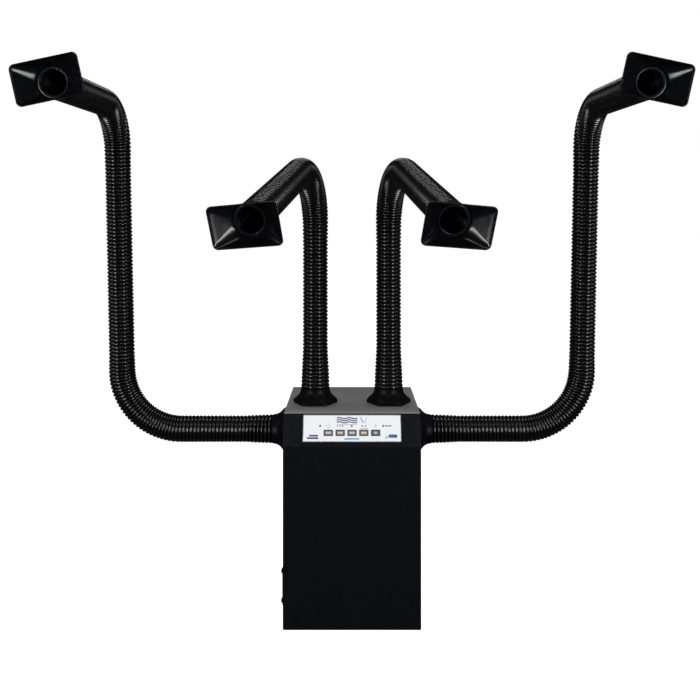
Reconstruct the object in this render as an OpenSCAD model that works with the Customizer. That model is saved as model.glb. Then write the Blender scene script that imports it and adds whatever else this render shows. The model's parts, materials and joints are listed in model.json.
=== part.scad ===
// Solder fume extractor: a filter cabinet with four self-supporting hose arms.
// The origin is the centre of the cabinet's footprint, on the surface that it stands on.
// +X is to the right, -Y is the front and +Z is up. The right arms mirror the left ones.

/* [Cabinet] */
// Overall width
cab_w = 305; // [295:5:330]
// Overall depth, without the door
cab_d = 300; // [295:5:320]
// Overall height, at the flat top
cab_h = 470; // [460:1:480]
// Height of the upright front, below the sloping control panel
front_h = 402; // [396:1:406]
// How far the control panel leans back over its height
slope_run = 31; // [26:1:36]
// Sheet metal thickness
sheet = 1.5; // [1.2:0.1:1.6]
// Outside radius of the folded front edges
fold_r = 4; // [3:0.5:6]

/* [Control panel] */
// Width of the white label
label_w = 218; // [210:1:225]
// Height of the white label, along the slope
label_h = 59; // [55:1:60]
// Distance from the bottom of the slope to the label
label_low = 11; // [9:0.5:11]
// Width of a key
key_w = 20; // [16:0.5:22]
// Height of a key
key_h = 13; // [10:0.5:14]
// Distance between the centres of two keys
key_pitch = 26.2; // [25:0.1:28]
// Travel of a key
key_travel = 0.5; // [0.3:0.1:0.6]

/* [Ports] */
// Distance from the centre line to a top port
top_port_x = 87; // [84:1:90]
// Place of all four ports, from front to back
port_y = -15; // [-20:1:0]
// Height of the side ports
side_port_z = 406; // [400:1:408]
// Height of a port collar
collar_h = 34; // [32:1:40]
// Width of a collar's hexagon across its corners
collar_hex = 107; // [100:1:110]

/* [Hoses] */
// Outside diameter
hose_od = 61; // [58:0.5:61]
// Inside diameter
hose_id = 50; // [46:0.5:50]
// Length of the flexible stretch behind a hood
wrist_len = 60; // [50:1:70]

/* [Top arms] */
// Height at which the riser's line and the upper run's line meet
top_corner_z = 1053; // [950:1:1100]
// Bend radius of the elbow, at the hose's centre line
top_bend_r = 120; // [90:1:140]
// Distance from the elbow's corner to the hood's throat
top_reach = 506; // [440:1:560]
// Angle of the upper run below horizontal
top_drop = 17.9; // [0:0.1:30]
// Angle of the upper run away from straight ahead
top_yaw = 10.9; // [0:0.1:30]
// Turn of the hood about its own axis
top_hood_turn = 4.6; // [-20:0.1:20]

/* [Side arms] */
// Distance from the centre line to the lower bend's corner
side_corner_x = 543; // [480:1:580]
// Bend radius of the lower bend
side_bend_r = 142; // [110:1:150]
// How far the riser leans outward over its height
side_lean = 16; // [0:1:40]
// Height of the elbow's corner
side_top_z = 1170; // [1050:1:1200]
// Bend radius of the elbow
side_elbow_r = 98; // [90:1:120]
// Distance from the elbow's corner to the hood's throat
side_reach = 379; // [340:1:420]
// Angle of the upper run below horizontal
side_drop = 1.9; // [0:0.1:15]
// Turn of the hood about its own axis
side_hood_turn = 12; // [-20:0.1:20]

/* [Hoods] */
// Width of the mouth
mouth_w = 128; // [115:1:140]
// Height of the mouth
mouth_h = 79; // [75:1:85]
// Depth of the funnel, from throat to mouth
funnel_len = 33; // [28:1:45]
// Diameter of the throat
throat_d = 60; // [59:0.5:60.5]
// Wall thickness
hood_wall = 2; // [1.6:0.1:2.4]

/* [Filters and blower] */
// Width of the filters
filter_w = 260; // [240:5:262]
// Depth of the filters
filter_d = 270; // [250:5:275]
// Number of blades on the impeller
blade_count = 11; // [7:1:15]
// Outside radius of the impeller
impeller_r = 95; // [85:1:98]

/* [Hidden] */
$fn = 96;

far = 1000;                         // longer than anything that it cuts
gap = 0.3;                          // air between two faces that don't touch
fit = 0.05;                         // radial clearance of a running fit
half_w = cab_w / 2;
half_d = cab_d / 2;
slope_h = cab_h - front_h;
slope_len = norm([slope_run, slope_h]);
slope_tilt = atan(slope_h / slope_run);
fascia_t = 2;
label_sink = 0.6;                   // the label lies this deep in the control panel
label_proud = 1.2;
label_mid = label_low + label_h / 2;
key_mid = 30.6;                     // height of the keys' centres, along the slope
key_proud = 1.9;
lamp_mid = 45.6;                    // height of the indicators
lamp_r = 1.5;
lamp_x = [-70.7, 69.5, 75.5, 80.5, 85.5];

hose_r = hose_od / 2;
bore_r = hose_id / 2;
cuff_r = 32;                        // outside of a swivel cuff
cuff_lip_r = 33.6;
spigot_r = 36;                      // outside of a collar, where it passes the cabinet wall
spigot_len = 12;
lip_t = 5;
rim_r = 34;                         // outside of a collar at its rim
bell_r = 26;                        // radius of the trumpet curve
bell_turn = 50;                     // the curve turns this far, and goes on as a cone
bell_steps = 6;

neck_len = 14;                      // sleeve of a hood, behind its throat
neck_r = 30;                        // outside of the cuff that the sleeve turns on
grip_r = 32;                        // ring behind the sleeve
cuff_back = 20;                     // the hood cuff reaches this far behind the throat
mouth_corner = 10;

bay_low = 138;                      // the filter bay, above its shelf
bay_high = 345;
opening_w = 264;                    // the hole in the back panel, behind the door
door_w = 280;
door_h = 225;
door_low = 129;
door_t = 2;
hinge_x = -145;
hinge_y = half_d + 4.5;
hinge_r = 4;
pin_r = 2;
latch_x = 120;
latch_z = 240;
latch_r = 8;
inlet_x = 100;
inlet_z = 50;

grille_y = [-146, -10];
grille_z = [52, 135];
grille_t = 1.2;
grille_screw_y = [-140, -16];
grille_screw_z = [61, 126];

fan_x = 30;
fan_y = 15;
fan_low = 50;
fan_h = 80;
scroll_r = 112;
scroll_wall = 2;
duct_y = [-97, -20];
shaft_r = 6;

// Corners of the two left arms, and the directions of their upper runs
top_dir = heading(top_yaw, top_drop);
top_route = [
    [-top_port_x, port_y, cab_h],
    [-top_port_x, port_y, top_corner_z],
    [-top_port_x, port_y, top_corner_z] + top_reach * top_dir
];
side_dir = heading(0, side_drop);
side_corner = [-side_corner_x, port_y, side_port_z];
side_top = [-side_corner_x - side_lean, port_y, side_top_z];
side_route = [
    [-half_w, port_y, side_port_z],
    side_corner,
    side_top,
    side_top + side_reach * side_dir
];
wrist_end = cuff_back + gap;        // distances back from the throat
upper_end = wrist_end + wrist_len + gap;

function unit(v) = v / norm(v);
function heading(yaw, drop) =
    [-sin(yaw) * cos(drop), -cos(yaw) * cos(drop), -sin(drop)];
function step_dir(route, i) = unit(route[i + 1] - route[i]);
// The angle that a route turns through at corner i
function turn(route, i) = acos(step_dir(route, i - 1) * step_dir(route, i));
// The length of straight hose that a bend of radius r takes up on each side of corner i
function tangent(route, i, r) = r * tan(turn(route, i) / 2);

// Places children at p with their Z along z, and their X level where z isn't upright
module aim(p, z) {
    side = abs(z.z) > 0.9 ? [0, 1, 0] : [0, 0, 1];
    x = unit(cross(side, z));
    y = cross(z, x);
    multmatrix([
        [x.x, y.x, z.x, p.x],
        [x.y, y.y, z.y, p.y],
        [x.z, y.z, z.z, p.z],
        [0, 0, 0, 1]
    ])
        children();
}

module tube(h, r_out, r_in) {
    difference() {
        cylinder(h = h, r = r_out);
        translate([0, 0, -1])
            cylinder(h = h + 2, r = r_in);
    }
}

// A straight hose from a to b
module hose(a, b) {
    aim(a, unit(b - a))
        tube(norm(b - a), hose_r, bore_r);
}

// The bend of radius r at corner i of a route
module hose_bend(route, i, r) {
    before = step_dir(route, i - 1);
    after = step_dir(route, i);
    inward = unit(after - (before * after) * before);
    start = route[i] - tangent(route, i, r) * before;
    centre = start + r * inward;
    out = -inward;
    axis = cross(out, before);
    trim = gap / r * 180 / PI;
    multmatrix([
        [out.x, before.x, axis.x, centre.x],
        [out.y, before.y, axis.y, centre.y],
        [out.z, before.z, axis.z, centre.z],
        [0, 0, 0, 1]
    ])
        rotate([0, 0, trim])
            rotate_extrude(angle = turn(route, i) - 2 * trim)
                translate([r, 0])
                    difference() {
                        circle(r = hose_r);
                        circle(r = bore_r);
                    }
}

module mirrored(on) {
    if (on)
        mirror([1, 0, 0])
            children();
    else
        children();
}

// The control panel's frame: X across, Y up the slope, Z out of the panel
module on_slope() {
    translate([0, -half_d, front_h])
        rotate([slope_tilt, 0, 0])
            children();
}

module at_top_port() {
    translate(top_route[0])
        children();
}

module at_side_port() {
    translate(side_route[0])
        rotate([0, -90, 0])
            children();
}

module block(x, y, z) {
    translate([x[0], y[0], z[0]])
        cube([x[1] - x[0], y[1] - y[0], z[1] - z[0]]);
}

// A pair of limits, given from a point
function span(at, pair) = [at + pair[0], at + pair[1]];

module plate(w, h, z) {
    translate([-w / 2, -h / 2, z[0]])
        cube([w, h, z[1] - z[0]]);
}

// ---- Cabinet shell ----

// Everything inside the cabinet's outer faces
module envelope() {
    intersection() {
        translate([-half_w, 0, 0])
            rotate([90, 0, 90])
                linear_extrude(cab_w)
                    polygon([
                        [-half_d, 0],
                        [half_d, 0],
                        [half_d, cab_h],
                        [-half_d + slope_run, cab_h],
                        [-half_d, front_h]
                    ]);
        union() {
            for (s = [-1, 1])
                translate([s * (half_w - fold_r), -half_d + fold_r, 0])
                    cylinder(h = cab_h, r = fold_r);
            block([fold_r - half_w, half_w - fold_r], [-half_d, half_d], [0, cab_h]);
            block([-half_w, half_w], [fold_r - half_d, half_d], [0, cab_h]);
        }
    }
}

module base_pan() {
    inner_w = half_w - sheet - gap;
    inner_d = half_d - sheet - gap;
    lip = 14;
    color("#1b1c20")
        difference() {
            block([-inner_w, inner_w], [fold_r - half_d, inner_d], [0, lip]);
            block([sheet - inner_w, inner_w - sheet],
                  [fold_r - half_d + sheet, inner_d - sheet],
                  [sheet, lip + 1]);
        }
}

module body_wrap() {
    color("#14151a")
        difference() {
            envelope();
            block([sheet - half_w, half_w - sheet], [sheet - half_d, far], [-1, far]);
            block([-far, far], [-far, far], [cab_h - sheet, far]);
            // the sloping control panel lies here
            intersection() {
                on_slope()
                    block([-far, far], [-far, far], [-fascia_t, far]);
                block([-far, far], [-far, far], [front_h, far]);
            }
            for (s = [0, 1])
                mirrored(s == 1)
                    at_side_port()
                        translate([0, 0, -5])
                            cylinder(h = 10, r = spigot_r + gap);
            // the exhaust hole, and the holes of the grille's screws
            block([-half_w - 1, sheet + 1 - half_w],
                  grille_y + [12, -12],
                  grille_z + [16, -16]);
            for (y = grille_screw_y, z = grille_screw_z)
                translate([-half_w - 1, y, z])
                    rotate([0, 90, 0])
                        cylinder(h = 5, r = 2.2);
        }
}

module top_plate() {
    color("#4a4a49")
        difference() {
            intersection() {
                envelope();
                block([-far, far], [-far, far], [cab_h - sheet, cab_h]);
            }
            for (s = [0, 1])
                mirrored(s == 1)
                    at_top_port()
                        translate([0, 0, -5])
                            cylinder(h = 10, r = spigot_r + gap);
        }
}

back_screw_x = half_w - 8;
back_screw_z = [16, 112, 368, 456];

module back_panel() {
    color("#17181c")
        difference() {
            block([sheet - half_w + gap, half_w - sheet - gap],
                  [half_d - sheet, half_d],
                  [0, cab_h - sheet]);
            block([-opening_w / 2, opening_w / 2], [0, far], [bay_low, bay_high]);
            block(span(inlet_x, [-14, 14]), [0, far], span(inlet_z, [-10.5, 10.5]));
            for (x = [-1, 1] * back_screw_x, z = back_screw_z)
                translate([x, half_d - 5, z])
                    rotate([-90, 0, 0])
                        cylinder(h = 10, r = 2.2);
        }
}

// A pan head screw with its head on Z = 0 and its shank along -Z
module screw(head_r, head_h, shank_len) {
    shank_r = 2;
    difference() {
        union() {
            cylinder(h = head_h * 0.6, r = head_r);
            translate([0, 0, head_h * 0.6])
                cylinder(h = head_h * 0.4, r1 = head_r, r2 = head_r * 0.7);
            translate([0, 0, -shank_len])
                cylinder(h = shank_len, r = shank_r);
        }
        for (turn = [0, 90])
            rotate([0, 0, turn])
                translate([-head_r * 0.5, -0.5, head_h * 0.5])
                    cube([head_r, 1, head_h]);
    }
}

module back_screws() {
    color("#3c3d40")
        for (x = [-1, 1] * back_screw_x, z = back_screw_z)
            translate([x, half_d, z])
                rotate([-90, 0, 0])
                    screw(4, 2.4, 8);
}

// ---- Control panel ----

module control_fascia() {
    color("#191b22")
        difference() {
            intersection() {
                envelope();
                on_slope()
                    block([-far, far], [-far, far], [-fascia_t, 1]);
                block([-far, far], [-far, far], [front_h, cab_h - sheet]);
            }
            on_slope() {
                translate([0, label_mid, 0])
                    plate(label_w + 0.6, label_h + 0.6, [-label_sink, 5]);
                key_windows();
                lamp_holes();
            }
        }
}

module key_windows() {
    for (i = [-2:2])
        translate([i * key_pitch, key_mid, 0])
            plate(key_w + 2 * gap, key_h + 2 * gap, [-10, 10]);
}

module lamp_holes() {
    for (x = lamp_x)
        translate([x, lamp_mid, -10])
            cylinder(h = 20, r = lamp_r + 0.1);
}

module keypad_label() {
    color("#eceef2")
        on_slope()
            difference() {
                translate([0, label_mid, 0])
                    plate(label_w, label_h, [-label_sink, label_proud]);
                key_windows();
                lamp_holes();
            }
}

// Key i of five, with the flange that keeps it in its window and a stem to its switch
module key(i, shade) {
    flange = fascia_t + gap;
    stem = 5.7;
    color(shade)
        on_slope()
            translate([i * key_pitch, key_mid, 0]) {
                plate(key_w, key_h, [-flange - 1, key_proud]);
                plate(key_w + 3, key_h + 3, [-flange - 1.5, -flange]);
                translate([0, 0, -stem])
                    cylinder(h = stem, r = 2);
            }
}

module mode_key() { key(-2, "#9a8d88"); }
module speed_key() { key(-1, "#9a8d88"); }
module timer_key() { key(0, "#9a8d88"); }
module filter_key() { key(1, "#9a8d88"); }
module power_key() { key(2, "#4f6172"); }

module status_leds() {
    color("#20252c")
        on_slope()
            for (x = lamp_x)
                translate([x, lamp_mid, 0]) {
                    translate([0, 0, -7.8])
                        cylinder(h = 7.8 + label_proud, r = lamp_r);
                    translate([0, 0, -4])
                        cylinder(h = 1.5, r = lamp_r + 0.4);
                }
}

// The board lies behind the panel, and its switches end just short of the keys' stems
module control_board() {
    board = [-9.6, -8];
    switch_top = -5.7 - key_travel - gap;
    color("#2f6b43")
        on_slope() {
            translate([0, label_mid, 0])
                plate(190, 48, board);
            for (i = [-2:2])
                translate([i * key_pitch, key_mid, 0])
                    plate(6, 6, [board[1], switch_top]);
            for (x = [-85, 85], y = [-19, 19])
                translate([x, label_mid + y, board[1]])
                    cylinder(h = -board[1] - fascia_t, r = 3);
        }
}

// ---- Filter door ----

knuckles = [[0, 18], [18 + gap, 42 - gap], [42, 60]];   // along the hinge, from its low end
hinge_z = [150, 275];                                   // low ends of the two hinges

module filter_door() {
    color("#1a1b20")
        difference() {
            union() {
                block([hinge_x + 5, hinge_x + 5 + door_w],
                      span(half_d + gap, [0, door_t]),
                      span(door_low, [0, door_h]));
                for (z = hinge_z) {
                    block(span(hinge_x, [0, 6]), span(half_d + gap, [0, door_t]),
                          span(z, knuckles[1]));
                    translate([hinge_x, hinge_y, z + knuckles[1][0]])
                        cylinder(h = knuckles[1][1] - knuckles[1][0], r = hinge_r);
                }
            }
            for (z = hinge_z)
                translate([hinge_x, hinge_y, z])
                    cylinder(h = knuckles[2][1], r = pin_r + fit);
            translate([latch_x, half_d - 5, latch_z])
                rotate([-90, 0, 0])
                    cylinder(h = 20, r = latch_r + fit);
        }
}

// The fixed knuckles with their feet on the back panel, and the two pins
module door_hinge() {
    color("#2a2b2f")
        for (z = hinge_z) {
            for (k = [knuckles[0], knuckles[2]]) {
                translate([hinge_x, hinge_y, z + k[0]])
                    cylinder(h = k[1] - k[0], r = hinge_r);
                block(span(hinge_x, [-hinge_r, 0]), [half_d, hinge_y], span(z, k));
            }
            translate([hinge_x, hinge_y, z + knuckles[0][0]])
                cylinder(h = knuckles[2][1], r = pin_r);
        }
}

// A quarter-turn latch: its tongue stands upright when it is open
module door_latch() {
    knob = half_d + gap + door_t + gap;
    tongue = half_d - sheet - 0.5;
    tongue_t = 2.5;
    color("#26272b")
        translate([latch_x, 0, latch_z]) {
            translate([0, tongue, 0])
                rotate([-90, 0, 0])
                    cylinder(h = knob - tongue, r = latch_r);
            translate([0, knob, 0])
                rotate([-90, 0, 0])
                    cylinder(h = 4, r = 15);
            block([-3.5, 3.5], span(knob, [4, 13]), [-13, 13]);
            block([-6, 6], span(tongue, [-tongue_t, 0]), [-9, 24]);
        }
}

// ---- Exhaust grille ----

module exhaust_grille() {
    slot_h = 4;
    slot_pitch = 7.5;
    color("#202126")
        difference() {
            block(span(-half_w, [-grille_t, 0]), grille_y, grille_z);
            for (z = [grille_z[0] + 18:slot_pitch:grille_z[1] - 18])
                block([-far, 0], grille_y + [18, -18], span(z, [0, slot_h]));
            for (y = grille_screw_y, z = grille_screw_z)
                translate([-half_w - 5, y, z])
                    rotate([0, 90, 0])
                        cylinder(h = 10, r = 2.2);
        }
}

module grille_screws() {
    color("#1c1c1f")
        for (y = grille_screw_y, z = grille_screw_z)
            translate([-half_w - grille_t, y, z])
                rotate([0, -90, 0])
                    screw(5.5, 3, 7);
}

// ---- Filters ----

module plenum_plate() {
    inner_w = half_w - sheet - gap;
    hole = [-120, 120];             // the air goes down into the filters
    color("#8b8d90")
        difference() {
            block([-inner_w, inner_w], [sheet + gap - half_d, half_d - sheet - gap],
                  span(bay_high, [0, sheet]));
            block(hole, hole, [0, far]);
        }
}

// A framed filter between two heights: a rim with its medium set in
module filter_box(z, rim) {
    outer = [filter_w / 2, filter_d / 2];
    inner = outer - [rim, rim];
    difference() {
        block([-outer.x, outer.x], [-outer.y, outer.y], z);
        for (set_in = [[-far, z[0] + rim / 2], [z[1] - rim / 2, far]])
            block([-inner.x, inner.x], [-inner.y, inner.y], set_in);
    }
}

module prefilter() {
    color("#dfe3e6")
        filter_box([bay_high - 22, bay_high - gap], 6);
}

module hepa_filter() {
    color("#f1f0ea")
        filter_box([bay_high - 132, bay_high - 22 - gap], 12);
}

module carbon_filter() {
    color("#3a3a3c")
        filter_box([bay_low + 4, bay_high - 132 - gap], 12);
}

// ---- Blower ----

// A round housing with a duct that leads to the grille, and the shelf for the filters on top
module blower_housing() {
    inner = span(fan_low, [scroll_wall, fan_h - scroll_wall]);
    shelf = [fan_low + fan_h, bay_low + 4 - gap];
    wall_x = sheet + gap - half_w;
    intake_r = 70;                  // the air comes in above the impeller
    motor_hole_r = 20;
    color("#6d7075")
        difference() {
            union() {
                translate([fan_x, fan_y, fan_low])
                    cylinder(h = fan_h, r = scroll_r);
                block([wall_x, fan_x], duct_y, span(fan_low, [0, fan_h]));
                block([wall_x, -wall_x], [gap + sheet - half_d, half_d - sheet - 3], shelf);
            }
            translate([fan_x, fan_y, inner[0]])
                cylinder(h = inner[1] - inner[0], r = scroll_r - scroll_wall);
            block([-far, fan_x], duct_y + [scroll_wall, -scroll_wall], inner);
            translate([fan_x, fan_y, fan_low])
                cylinder(h = far, r = intake_r);
            translate([fan_x, fan_y, 0])
                cylinder(h = far, r = motor_hole_r);
        }
}

module blower_motor() {
    motor_r = 52;
    foot = sheet + gap;
    color("#9aa0a6")
        difference() {
            union() {
                translate([fan_x, fan_y, foot])
                    cylinder(h = fan_low - foot - 4, r = motor_r);
                translate([fan_x, fan_y, fan_low - 4])
                    cylinder(h = 4 - gap, r = 66);
            }
            translate([fan_x, fan_y, 12])
                cylinder(h = far, r = shaft_r + fit);
        }
}

module impeller() {
    disc = fan_low + 6;
    blade_top = fan_low + fan_h - 8;
    eye_r = 62;
    color("#d8d9db")
        translate([fan_x, fan_y, 0]) {
            translate([0, 0, disc])
                cylinder(h = 3, r = impeller_r);
            translate([0, 0, blade_top - 2])
                tube(2, impeller_r, eye_r);
            translate([0, 0, disc])
                cylinder(h = 36, r = 16);
            for (i = [0:blade_count - 1])
                rotate([0, 0, i * 360 / blade_count])
                    translate([50, 0, 0])
                        rotate([0, 0, -38])
                            block([0, 44], [-1, 1], [disc + 2, blade_top - 1]);
            // the shaft runs down into the motor
            translate([0, 0, 13])
                cylinder(h = disc - 10, r = shaft_r);
        }
}

// ---- Power inlet ----

module power_inlet() {
    face = half_d + 3;
    socket = [24.5, 17, 16.5];
    floor_y = face - socket.y;
    color("#222327")
        translate([inlet_x, 0, inlet_z]) {
            difference() {
                union() {
                    block([-25, 25], [half_d, face], [-13, 13]);
                    block([-13.7, 13.7], [half_d - 26, half_d], [-10.2, 10.2]);
                }
                block([-socket.x / 2, socket.x / 2], [floor_y, far], [-socket.z / 2, socket.z / 2]);
            }
            for (p = [[-7, 2], [0, -2], [7, 2]])
                block(span(p[0], [-1, 1]), span(floor_y, [-1, 12]), span(p[1], [-2, 2]));
        }
}

// ---- Ports ----

// Rim of a collar down to its hexagon: a trumpet curve that ends in a cone
module bell() {
    curve = [for (i = [0:bell_steps])
        let (a = bell_turn * i / bell_steps)
            [rim_r + bell_r * (1 - cos(a)), collar_h - bell_r * sin(a)]];
    foot = curve[bell_steps];
    rotate_extrude()
        polygon(concat(
            [[0, 0], [0, collar_h]],
            curve,
            [[foot.x + foot.y * tan(bell_turn), 0]]
        ));
}

module collar() {
    difference() {
        union() {
            intersection() {
                bell();
                cylinder(h = collar_h, r = collar_hex / 2, $fn = 6);
            }
            translate([0, 0, -spigot_len])
                cylinder(h = spigot_len + 1, r = spigot_r);
        }
        translate([0, 0, -spigot_len - 1])
            cylinder(h = far, r = cuff_r + fit);
    }
}

module port_collars() {
    color("#101114")
        for (s = [0, 1])
            mirrored(s == 1) {
                at_top_port()
                    collar();
                // half a flat further round, so that two flats of a side hexagon are level
                at_side_port()
                    rotate([0, 0, 360 / 12])
                        collar();
            }
}

// The sleeve on a hose's end, which turns in its collar between two lips
module swivel_cuff() {
    low = -spigot_len - gap - lip_t;
    top = collar_h + gap;
    color("#0e0e10")
        difference() {
            union() {
                translate([0, 0, low])
                    cylinder(h = top + 2 - low, r = cuff_r);
                translate([0, 0, low])
                    cylinder(h = lip_t, r = cuff_lip_r);
                translate([0, 0, top])
                    cylinder(h = 2, r = cuff_lip_r);
            }
            translate([0, 0, low - 1])
                cylinder(h = far, r = bore_r);
            translate([0, 0, low + lip_t])
                cylinder(h = far, r = hose_r + 0.1);
        }
}

hose_start = -spigot_len;           // a hose's end face, along its port's axis

// ---- Hoods ----

module mouth_shape(w, h, r) {
    hull()
        for (x = [-1, 1], y = [-1, 1])
            translate([x * (w / 2 - r), y * (h / 2 - r)])
                circle(r = r, $fn = 32);
}

// A funnel whose throat is on Z = 0
module funnel(grow, from, to) {
    hull() {
        translate([0, 0, from])
            linear_extrude(0.5)
                circle(r = throat_d / 2 + grow, $fn = 64);
        translate([0, 0, to - 0.5])
            linear_extrude(0.5)
                mouth_shape(mouth_w - 2 * hood_wall + 2 * grow,
                            mouth_h - 2 * hood_wall + 2 * grow,
                            mouth_corner - hood_wall + grow);
    }
}

module hood(throat, dir, twist) {
    color("#0c0c0e")
        aim(throat, dir)
            rotate([0, 0, twist])
                difference() {
                    union() {
                        funnel(hood_wall, 0, funnel_len);
                        translate([0, 0, -neck_len])
                            cylinder(h = neck_len + 2, r = neck_r + fit + hood_wall);
                    }
                    translate([0, 0, 0.6])
                        funnel(0, 0, funnel_len);
                    translate([0, 0, -neck_len - 1])
                        cylinder(h = neck_len + 3, r = neck_r + fit);
                }
}

// The sleeve on a hose's end that a hood turns on
module hood_cuff(throat, dir) {
    color("#0e0e10")
        aim(throat - cuff_back * dir, dir) {
            tube(cuff_back - gap, neck_r, bore_r);
            tube(cuff_back - neck_len - gap, grip_r, bore_r);
        }
}

// ---- Arms ----

hose_black = "#0a0a0b";

module top_cuff(right) {
    mirrored(right)
        at_top_port()
            swivel_cuff();
}

module top_riser(right) {
    color(hose_black)
        mirrored(right)
            hose(top_route[0] + [0, 0, hose_start],
                 top_route[1] - [0, 0, tangent(top_route, 1, top_bend_r)]);
}

module top_elbow(right) {
    color(hose_black)
        mirrored(right)
            hose_bend(top_route, 1, top_bend_r);
}

module top_upper(right) {
    color(hose_black)
        mirrored(right)
            hose(top_route[1] + tangent(top_route, 1, top_bend_r) * top_dir,
                 top_route[2] - upper_end * top_dir);
}

module top_wrist(right) {
    color(hose_black)
        mirrored(right)
            hose(top_route[2] - (wrist_end + wrist_len) * top_dir,
                 top_route[2] - wrist_end * top_dir);
}

module side_cuff(right) {
    mirrored(right)
        at_side_port()
            swivel_cuff();
}

module side_run(right) {
    color(hose_black)
        mirrored(right)
            hose(side_route[0] - [hose_start, 0, 0],
                 side_route[1] + [tangent(side_route, 1, side_bend_r), 0, 0]);
}

module side_bend(right) {
    color(hose_black)
        mirrored(right)
            hose_bend(side_route, 1, side_bend_r);
}

module side_riser(right) {
    up = step_dir(side_route, 1);
    color(hose_black)
        mirrored(right)
            hose(side_route[1] + tangent(side_route, 1, side_bend_r) * up,
                 side_route[2] - tangent(side_route, 2, side_elbow_r) * up);
}

module side_elbow(right) {
    color(hose_black)
        mirrored(right)
            hose_bend(side_route, 2, side_elbow_r);
}

module side_upper(right) {
    color(hose_black)
        mirrored(right)
            hose(side_route[2] + tangent(side_route, 2, side_elbow_r) * side_dir,
                 side_route[3] - upper_end * side_dir);
}

module side_wrist(right) {
    color(hose_black)
        mirrored(right)
            hose(side_route[3] - (wrist_end + wrist_len) * side_dir,
                 side_route[3] - wrist_end * side_dir);
}

module top_left_cuff() { top_cuff(false); }
module top_left_riser() { top_riser(false); }
module top_left_elbow() { top_elbow(false); }
module top_left_upper() { top_upper(false); }
module top_left_wrist() { top_wrist(false); }
module top_left_hood_cuff() { hood_cuff(top_route[2], top_dir); }
module top_left_hood() { hood(top_route[2], top_dir, top_hood_turn); }

module top_right_cuff() { top_cuff(true); }
module top_right_riser() { top_riser(true); }
module top_right_elbow() { top_elbow(true); }
module top_right_upper() { top_upper(true); }
module top_right_wrist() { top_wrist(true); }
module top_right_hood_cuff() { mirrored(true) top_left_hood_cuff(); }
module top_right_hood() { mirrored(true) top_left_hood(); }

module side_left_cuff() { side_cuff(false); }
module side_left_run() { side_run(false); }
module side_left_bend() { side_bend(false); }
module side_left_riser() { side_riser(false); }
module side_left_elbow() { side_elbow(false); }
module side_left_upper() { side_upper(false); }
module side_left_wrist() { side_wrist(false); }
module side_left_hood_cuff() { hood_cuff(side_route[3], side_dir); }
module side_left_hood() { hood(side_route[3], side_dir, side_hood_turn); }

module side_right_cuff() { side_cuff(true); }
module side_right_run() { side_run(true); }
module side_right_bend() { side_bend(true); }
module side_right_riser() { side_riser(true); }
module side_right_elbow() { side_elbow(true); }
module side_right_upper() { side_upper(true); }
module side_right_wrist() { side_wrist(true); }
module side_right_hood_cuff() { mirrored(true) side_left_hood_cuff(); }
module side_right_hood() { mirrored(true) side_left_hood(); }

base_pan();
body_wrap();
top_plate();
back_panel();
back_screws();
control_fascia();
keypad_label();
mode_key();
speed_key();
timer_key();
filter_key();
power_key();
status_leds();
control_board();
filter_door();
door_hinge();
door_latch();
exhaust_grille();
grille_screws();
plenum_plate();
prefilter();
hepa_filter();
carbon_filter();
blower_housing();
blower_motor();
impeller();
power_inlet();
port_collars();
top_left_cuff();
top_left_riser();
top_left_elbow();
top_left_upper();
top_left_wrist();
top_left_hood_cuff();
top_left_hood();
top_right_cuff();
top_right_riser();
top_right_elbow();
top_right_upper();
top_right_wrist();
top_right_hood_cuff();
top_right_hood();
side_left_cuff();
side_left_run();
side_left_bend();
side_left_riser();
side_left_elbow();
side_left_upper();
side_left_wrist();
side_left_hood_cuff();
side_left_hood();
side_right_cuff();
side_right_run();
side_right_bend();
side_right_riser();
side_right_elbow();
side_right_upper();
side_right_wrist();
side_right_hood_cuff();
side_right_hood();
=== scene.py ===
"""Looks of the solder fume extractor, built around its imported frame. Lengths are in metres."""

import json
import math

import bmesh
import bpy
import numpy as np
from mathutils import Matrix, Vector


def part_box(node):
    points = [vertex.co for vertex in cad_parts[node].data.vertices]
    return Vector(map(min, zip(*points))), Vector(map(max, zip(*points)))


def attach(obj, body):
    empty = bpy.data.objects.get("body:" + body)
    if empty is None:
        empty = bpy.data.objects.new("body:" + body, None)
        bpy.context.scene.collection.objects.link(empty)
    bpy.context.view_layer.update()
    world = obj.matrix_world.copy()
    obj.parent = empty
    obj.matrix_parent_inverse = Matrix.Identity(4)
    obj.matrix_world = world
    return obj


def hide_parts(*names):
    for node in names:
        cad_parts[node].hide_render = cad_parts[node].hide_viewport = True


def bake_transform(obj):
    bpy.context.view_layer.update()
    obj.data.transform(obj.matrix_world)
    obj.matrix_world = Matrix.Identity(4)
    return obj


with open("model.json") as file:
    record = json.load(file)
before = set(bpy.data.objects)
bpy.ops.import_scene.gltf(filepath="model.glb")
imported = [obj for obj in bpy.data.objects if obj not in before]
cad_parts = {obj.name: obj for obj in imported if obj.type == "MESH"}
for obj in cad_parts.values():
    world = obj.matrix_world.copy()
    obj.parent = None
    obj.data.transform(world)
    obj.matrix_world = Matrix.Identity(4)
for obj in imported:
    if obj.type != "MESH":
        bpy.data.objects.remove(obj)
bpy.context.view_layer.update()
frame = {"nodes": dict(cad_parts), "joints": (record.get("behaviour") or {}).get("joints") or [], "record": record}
joints = {joint["name"]: joint for joint in frame["joints"]}
nodes = frame["nodes"]

# ---- Driving sizes ----

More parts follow.
